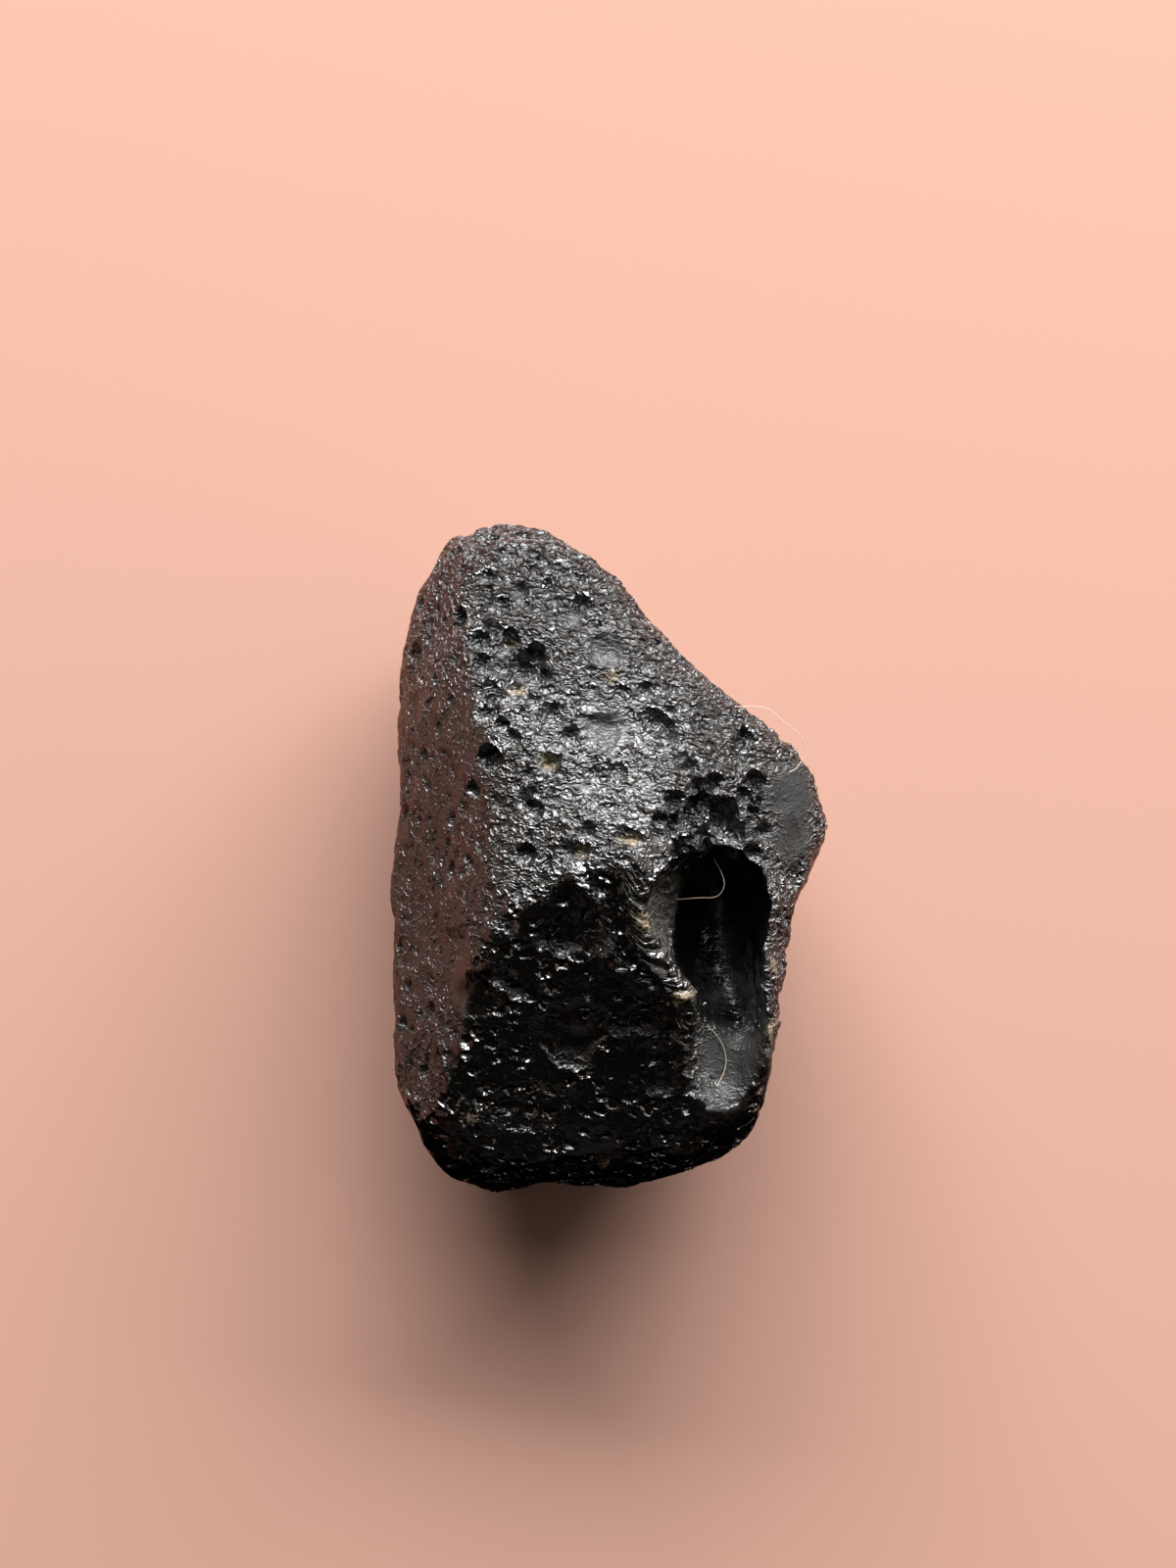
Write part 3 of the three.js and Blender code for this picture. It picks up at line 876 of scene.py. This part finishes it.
for seed, (name, sizes) in enumerate(PIT_SIZES.items(), FIRST_SEED):
    sink_pits(stone, name, sizes, seed)
baked(stone)
print("points after pitting:", len(stone.data.vertices))

# %% [markdown]
# ## Down to a lighter mesh
# The even grid has far more triangles than the part may have. Collapsing edges takes most of them
# from the smooth places and leaves them in the pits. Then the stone goes back to metres and is
# fitted to the imported solid's box, which smoothing had shrunk a little.

# %% Thin the mesh and bring it to size
MOST_TRIANGLES = 196_000


def thinned(piece):
    triangles = len(piece.data.polygons) * 2
    decimate = piece.modifiers.new("thin", "DECIMATE")
    decimate.ratio = MOST_TRIANGLES / triangles
    decimate.use_collapse_triangulate = True
    return baked(piece)


def fitted(piece, low, high):
    """Moves and scales the points so that they just fill the box between two corners."""
    places = read_points(piece.data)
    start, reach = places.min(0), np.ptp(places, axis=0)
    size = np.array(high) - np.array(low)
    write_points(piece.data, np.array(low) + (places - start) * size / reach)
    return piece


thinned(stone)
print("size of the stone in mm before fitting:", np.ptp(read_points(stone.data), axis=0).round(2))
fitted(stone, *cad_box)
stone.data.shade_smooth()
print("triangles in the stone:", len(stone.data.polygons))

# %% [markdown]
# ## Lint
# Three pale fibres cling to the stone: one hangs across the groove, one lies on its foot and one
# sticks out over the edge of the shoulder. Each is a thin tube along a smooth curve. Cotton is matt
# and pale, and so thin a fibre looks greyer than a whole thread.

# %% Lay the lint
LINT = "#8F7F70"
LINT_ROUGHNESS = 0.8
FIBRES = {
    # what the heights are measured from, then x, y in the picture and the height in mm
    "lint_in_groove": (
        "table",
        [
            (2.3, -1.35, 8.35), (3.0, -1.3, 8.5), (3.6, -1.25, 8.6),
            (3.85, -0.9, 8.7), (3.75, -0.45, 8.7), (3.5, 0.0, 8.4),
        ],
    ),
    "lint_on_foot": (
        "stone",
        [(3.3, -5.5, 0.1), (3.7, -5.95, 0.1), (3.9, -6.5, 0.1), (3.85, -7.0, 0.1), (3.6, -7.5, 0.05)],
    ),
    "lint_on_shoulder": (
        "table",
        [
            (4.2, 5.0, 8.5), (5.2, 4.95, 8.6), (5.8, 4.5, 8.5), (6.35, 4.05, 8.4),
            (6.5, 3.5, 8.3), (6.25, 3.0, 8.3), (5.9, 2.8, 8.4),
        ],
    ),
}
FIBRE_RADIUS = 0.014  # mm
FIBRE_SIDES = 6
STEPS_BETWEEN = 10
ASIDE = (0.3, 0.2, 1.0)  # a direction that no fibre runs in, to turn its rings by


def smooth_line(corners):
    """Catmull-Rom points through the corners."""
    padded = [2 * corners[0] - corners[1], *corners, 2 * corners[-1] - corners[-2]]
    line = []
    for a, b, c, d in zip(padded, padded[1:], padded[2:], padded[3:]):
        for t in np.arange(STEPS_BETWEEN) / STEPS_BETWEEN:
            pull = (c - a) * t + (2 * a - 5 * b + 4 * c - d) * t**2 + (3 * b - a - 3 * c + d) * t**3
            line.append(b + 0.5 * pull)
    return np.array([*line, corners[-1]])


def tube(name, line):
    """A closed tube along a line of points in mm, as a mesh in metres."""
    turns = np.linspace(0, 2 * math.pi, FIBRE_SIDES, endpoint=False)
    points, faces = [], []
    for centre, forward in zip(line, np.gradient(line, axis=0)):
        side = np.cross(forward, ASIDE)
        side /= np.linalg.norm(side)
        up = np.cross(side, forward / np.linalg.norm(forward))
        points += [centre + FIBRE_RADIUS * (math.cos(t) * side + math.sin(t) * up) for t in turns]
    for ring in range(len(line) - 1):
        here, there = ring * FIBRE_SIDES, (ring + 1) * FIBRE_SIDES
        for k in range(FIBRE_SIDES):
            after = (k + 1) % FIBRE_SIDES
            faces.append((here + k, here + after, there + after, there + k))
    last = (len(line) - 1) * FIBRE_SIDES
    faces.append(tuple(reversed(range(FIBRE_SIDES))))
    faces.append(tuple(range(last, last + FIBRE_SIDES)))
    mesh = bpy.data.meshes.new(name)
    mesh.from_pydata((np.array(points) * MM).tolist(), [], faces)
    return link_object(name, mesh)


def on_sight(x, y, height):
    """The point at a height above the table that the camera sees at a place in the picture."""
    eye = np.array(camera.location) / MM
    sight = np.array([x, y, OUTLINE_LEVEL / MM]) - eye
    return eye + sight * (height - eye[2]) / sight[2]


cotton = {"Base Color": linear(LINT), "Roughness": LINT_ROUGHNESS}
lint = surfaced(new_material("pale_cotton_lint"), cotton)
seen_at = surface_finder(stone.data, 1 / MM)
for name, (base, corners) in FIBRES.items():
    if base == "table":
        line = [on_sight(x, y, height) for x, y, height in corners]
    else:
        line = [seen_at(x, y)[0] + (0, 0, height) for x, y, height in corners]
    fibre = tube(name, smooth_line(line))
    fibre.data.materials.append(lint)
    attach(fibre, "root")
print("fibres laid:", len(FIBRES))

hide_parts("tektite")
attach(stone, "root")
